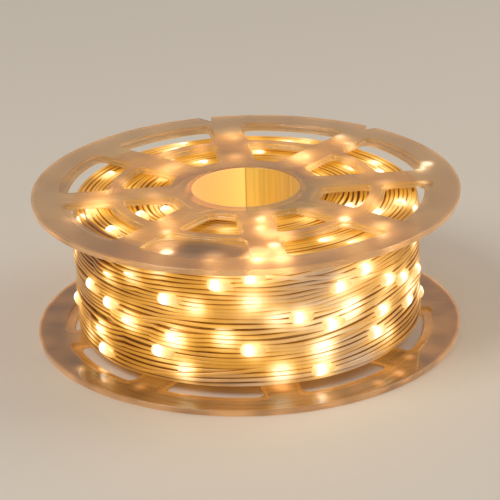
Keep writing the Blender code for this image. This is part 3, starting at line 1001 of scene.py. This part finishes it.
def mark_light(piece, way=0):
    """Keeps the lamps' light and the depth under the winding's crest, in mm, as attributes."""
    mesh = piece.data
    places = np.empty(len(mesh.vertices) * 3)
    mesh.vertices.foreach_get("co", places)
    places = places.reshape(-1, 3)
    normals = np.array([tuple(normal.vector) for normal in mesh.vertex_normals])
    reach = np.hypot(places[:, 0], places[:, 1])
    if way == 0:
        middle = (WINDING_LOW + WINDING_HIGH) / 2
        to_end = (WINDING_HIGH - WINDING_LOW) / 2 - np.abs(places[:, 2] - middle)
        level = 1 - np.clip(to_end / (2 * FACE_SHOULDER), 0, 1)
        depth = np.array([shoulder(height) for height in places[:, 2]]) - reach
        depth = np.minimum(depth, to_end + 0.3 * MM)
        outward = (normals[:, :2] * places[:, :2]).sum(axis=1) / reach
        upward = normals[:, 2] * np.sign(places[:, 2] - middle)
        facing = (outward * (1 - level) + upward * level) / np.hypot(1 - level, level)
    else:
        depth = WINDING_HIGH - places[:, 2] if way > 0 else places[:, 2] - WINDING_LOW
        facing = normals[:, 2] * way
    dusk = pale = np.zeros(len(places))
    deeper = 1.0
    if way == 0:
        dusk = share_of(DUSKY_STRETCHES, places, 2.2)
        pale = share_of(PAINTED_SHEEN_STRETCHES, places, 1.0)
        deeper = 0.65 + dusk
    store(mesh, "crest", np.clip(facing, 0, 1) ** deeper)
    store(mesh, "light", light_on(places) * (1 - 0.16 * dusk) - 0.13 * dusk)
    store(mesh, "pale", pale)
    store(mesh, "depth", np.clip(depth / MM * (0.5 + 0.5 * deeper), 0, 4))


def lit_pvc():
    """Clear soft PVC on copper: glossy, with a painted golden glow of the lamps' light that runs inside it,
    painted shade between the turns and a painted pale sheen in places.
    """
    material, tree, shader = new_material("clear_pvc_wire_lit")
    place = add(tree, "ShaderNodeTexCoord").outputs["Object"]
    light, depth, pale, crest = (
        add(tree, "ShaderNodeAttribute", {"attribute_name": name}).outputs["Fac"]
        for name in ("light", "depth", "pale", "crest")
    )
    patches = add(tree, "ShaderNodeTexNoise", Vector=place, Scale=70.0, Detail=2.0)
    lifted = add(
        tree, "ShaderNodeMath", {"operation": "MULTIPLY_ADD"}, i0=patches.outputs["Fac"], i1=0.7, i2=light,
    )
    glow = add(tree, "ShaderNodeMapRange", Value=lifted.outputs["Value"], i1=0.2, i2=1.7)
    gold = add(tree, "ShaderNodeValToRGB", Fac=glow.outputs["Result"])
    ramp_colours(gold, [
        (0.0, "#AC7414"), (0.2, "#D09426"), (0.42, "#EFB648"),
        (0.66, "#FFD680"), (1.0, "#FFE9BC"),
    ])
    # Painted sheen: where pale is high, a paler cream and lilac-grey colour in thin streaks, with a little
    # more painted glow.
    clear = add(tree, "ShaderNodeValToRGB", Fac=glow.outputs["Result"])
    ramp_colours(clear, [
        (0.0, "#A88C78"), (0.25, "#CDB294"), (0.5, "#EFD8AE"), (1.0, "#FFF6E0"),
    ])
    streaked = add(tree, "ShaderNodeVectorMath", {"operation": "MULTIPLY"}, i0=place, i1=(60, 60, 520))
    streaks = add(tree, "ShaderNodeTexNoise", Vector=streaked.outputs["Vector"], Scale=1.0, Detail=1.0)
    chosen = add(tree, "ShaderNodeMapRange", Value=streaks.outputs["Fac"], i1=0.35, i2=0.6, i3=0.45, i4=1.0)
    amount = add(tree, "ShaderNodeMath", {"operation": "MULTIPLY"}, i0=pale, i1=chosen.outputs["Result"])
    colour = add(
        tree, "ShaderNodeMix", {"data_type": "RGBA"},
        i0=amount.outputs["Value"], i6=gold.outputs["Color"], i7=clear.outputs["Color"],
    )
    power = add(tree, "ShaderNodeValToRGB", Fac=glow.outputs["Result"])
    ramp_colours(power, [(0.0, grey(0.42)), (0.3, grey(0.60)), (0.6, grey(0.85)), (1.0, grey(1))])
    # Painted shade: darker on the flanks of each wire, where neighbouring turns meet, and darker deeper
    # under the winding's crest.
    flank_shade = add(tree, "ShaderNodeValToRGB", Fac=crest)
    ramp_colours(flank_shade, [
        (0.0, (0.22, 0.11, 0.025, 1)), (0.35, (0.42, 0.26, 0.09, 1)), (0.70, (0.90, 0.86, 0.78, 1)),
        (1.0, grey(1)),
    ])
    inside = add(tree, "ShaderNodeMapRange", Value=depth, i1=0.0, i2=4.0)
    shade = add(tree, "ShaderNodeValToRGB", Fac=inside.outputs["Result"])
    ramp_colours(shade, [
        (0.0, grey(1)), (0.16, (0.88, 0.84, 0.74, 1)), (0.30, (0.55, 0.42, 0.22, 1)),
        (0.45, (0.36, 0.23, 0.07, 1)), (1.0, (0.22, 0.12, 0.02, 1)),
    ])
    in_depth = add(
        tree, "ShaderNodeMix", {"data_type": "RGBA", "blend_type": "MULTIPLY"},
        i0=1.0, i6=colour.outputs[2], i7=shade.outputs["Color"],
    )
    body = add(
        tree, "ShaderNodeMix", {"data_type": "RGBA", "blend_type": "MULTIPLY"},
        i0=1.0, i6=in_depth.outputs[2], i7=flank_shade.outputs["Color"],
    )
    glare = add(tree, "ShaderNodeMapRange", Value=light, i1=0.9, i2=3.2, i3=0.93, i4=2.0)
    lift = add(
        tree, "ShaderNodeMath", {"operation": "MULTIPLY_ADD"}, i0=amount.outputs["Value"], i1=0.18,
        i2=glare.outputs["Result"],
    )
    strength = add(
        tree, "ShaderNodeMath", {"operation": "MULTIPLY"},
        i0=power.outputs["Color"], i1=lift.outputs["Value"],
    )
    shine(tree, shader, body.outputs[2])
    tree.links.new(strength.outputs["Value"], shader.inputs["Emission Strength"])
    set_shader(shader, Roughness=0.22, IOR=1.53, Coat_Weight=0.4, Coat_Roughness=0.12)
    return material


pvc = lit_pvc()
wires, diameter_input, sides_input = wire_tree(pvc)


def wound(name, layers, sides, way=0):
    """One piece from the lines of several layers."""
    points = []
    edges = []
    for line in layers:
        start = len(points)
        points += [tuple(point) for point in line]
        edges += [(start + i, start + i + 1) for i in range(len(line) - 1)]
    mesh = bpy.data.meshes.new(name)
    mesh.from_pydata(points, edges, [])
    piece = in_scene(name, mesh)
    modifier = piece.modifiers.new("Wires", "NODES")
    modifier.node_group = wires
    modifier[diameter_input] = WIRE_DIAMETER
    modifier[sides_input] = sides
    piece = applied(piece)
    mark_light(piece, way)
    return piece


def winding_core():
    """The mass of turns inside, seen only through the gaps between the outer ones."""
    deep = CORE_DEPTH
    foot = WINDING_LOW + deep / 2
    top = WINDING_HIGH - CORE_UNDER_END
    profile = [
        (WINDING_RADIUS - deep, WINDING_LOW + deep), (WINDING_RADIUS - 2 * deep, foot),
        (CORE_BORE, foot), (CORE_BORE, top),
        (WINDING_RADIUS - 1.6 * deep, top), (WINDING_RADIUS - deep, WINDING_HIGH - 1.3 * deep),
    ]
    core = turned("winding_core", profile, 120)
    core.data.shade_smooth()
    mark_light(core)
    return core


def shaded_wire_mass():
    """The same PVC wire in the shade of the outer turns: dark amber, brighter by a lamp."""
    material, tree, shader = new_material("pvc_wire_in_shade")
    place = add(tree, "ShaderNodeTexCoord").outputs["Object"]
    light = add(tree, "ShaderNodeAttribute", {"attribute_name": "light"}).outputs["Fac"]
    rows = add(tree, "ShaderNodeTexNoise", Vector=place, Scale=260.0, Detail=2.0)
    lifted = add(
        tree, "ShaderNodeMath", {"operation": "MULTIPLY_ADD"}, i0=rows.outputs["Fac"], i1=0.5, i2=light,
    )
    colour = add(tree, "ShaderNodeValToRGB", Fac=lifted.outputs["Value"])
    ramp_colours(colour, [(0.1, "#5A3406"), (0.5, "#8A560E"), (1.0, "#D89A34")])
    shine(tree, shader, colour.outputs["Color"])
    set_shader(shader, Emission_Strength=0.3, Roughness=0.5)
    return material


def lit_inner_turns():
    """The innermost turns, packed with lamps: they light the drum's wall through its plastic."""
    material, tree, shader = new_material("pvc_wire_round_drum_lit")
    place = add(tree, "ShaderNodeTexCoord").outputs["Object"]
    patches = add(tree, "ShaderNodeTexNoise", Vector=place, Scale=60.0, Detail=2.0)
    colour = add(tree, "ShaderNodeValToRGB", Fac=patches.outputs["Fac"])
    ramp_colours(colour, [(0.3, "#E09A34"), (0.55, "#FFC865"), (0.75, "#FFE3A0")])
    shine(tree, shader, colour.outputs["Color"])
    set_shader(shader, Emission_Strength=1.0)
    return material


top_level = WINDING_HIGH - WIRE_DIAMETER / 2
low_level = WINDING_LOW + WIRE_DIAMETER / 2
core = winding_core()
core.data.materials.append(shaded_wire_mass())
core.data.materials.append(lit_inner_turns())
for polygon in core.data.polygons:
    if polygon.center.xy.length < CORE_BORE + 0.1 * MM:
        polygon.material_index = 1
face = wound("face_turns", [
    face_turns(FACE_TURNS, FACE_STEPS, 0.0, 1.3 * MM, 2.0),
    face_turns(FACE_TURNS, UNDER_STEPS, 1.5 * MM, 1.2 * MM, 31.0),
    *crossing_turns(16, 5),
], 8)
upper_end = wound("upper_end_turns", [
    end_turns(END_TURNS, END_STEPS, top_level, 1, 1.9 * MM, 4.0),
    end_turns(END_TURNS, END_STEPS, top_level - 1.2 * MM, 1, 1.6 * MM, 17.0),
], 7, 1)
lower_end = wound("lower_end_turns", [
    end_turns(END_TURNS, END_STEPS, low_level, -1, 1.6 * MM, 23.0),
], 6, -1)
for piece in (core, face, upper_end, lower_end):
    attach(piece, "root")
    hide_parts("wire_coil")


# Floor and lights
# A pale matt floor and soft studio light, kept low so that the string's own light shows.
def make_floor():
    mesh = bpy.data.meshes.new("floor")
    corners = [(-4, -4, 0), (4, -4, 0), (4, 4, 0), (-4, 4, 0)]
    mesh.from_pydata(corners, [], [(0, 1, 2, 3)])
    floor = in_scene("floor", mesh)
    material, tree, shader = new_material("pale_matt_floor")
    set_shader(shader, Base_Color=srgb("#E6E1DA"), Roughness=0.6)
    mesh.materials.append(material)


def area_light(name, place, aim, size, power, colour):
    data = bpy.data.lights.new(name, "AREA")
    data.shape = "DISK"
    data.size = size
    data.energy = power
    data.color = srgb(colour)[:3]
    lamp = in_scene(name, data)
    way = Vector(aim) - Vector(place)
    lamp.matrix_world = Matrix.Translation(place) @ way.to_track_quat("-Z", "Y").to_matrix().to_4x4()


def soft_surroundings():
    world = bpy.data.worlds.new("studio")
    bpy.context.scene.world = world
    world.use_nodes = True
    background = world.node_tree.nodes["Background"]
    background.inputs["Color"].default_value = srgb("#E9E4DC")
    background.inputs["Strength"].default_value = 0.38


def glow_in_lens():
    """Bloom round the lamps, as a lens gives it."""
    scene = bpy.context.scene
    scene.use_nodes = True
    tree = scene.node_tree
    tree.nodes.clear()
    layers = add(tree, "CompositorNodeRLayers")
    glare = add(
        tree, "CompositorNodeGlare", {"glare_type": "BLOOM"},
        Image=layers.outputs["Image"], Strength=0.32, Size=0.35, Threshold=1.0,
    )
    picture = add(tree, "CompositorNodeComposite")
    tree.links.new(glare.outputs["Image"], picture.inputs["Image"])


make_floor()
soft_surroundings()
area_light("key_light", (-0.7, -0.5, 1.1), (0, 0, 0.02), 0.8, 7.5, "#FFF4E6")
area_light("fill_light", (0.9, 0.2, 0.8), (0, 0, 0.02), 0.9, 4.0, "#FFF1E0")
glow_in_lens()
bpy.context.scene.view_settings.view_transform = "Standard"
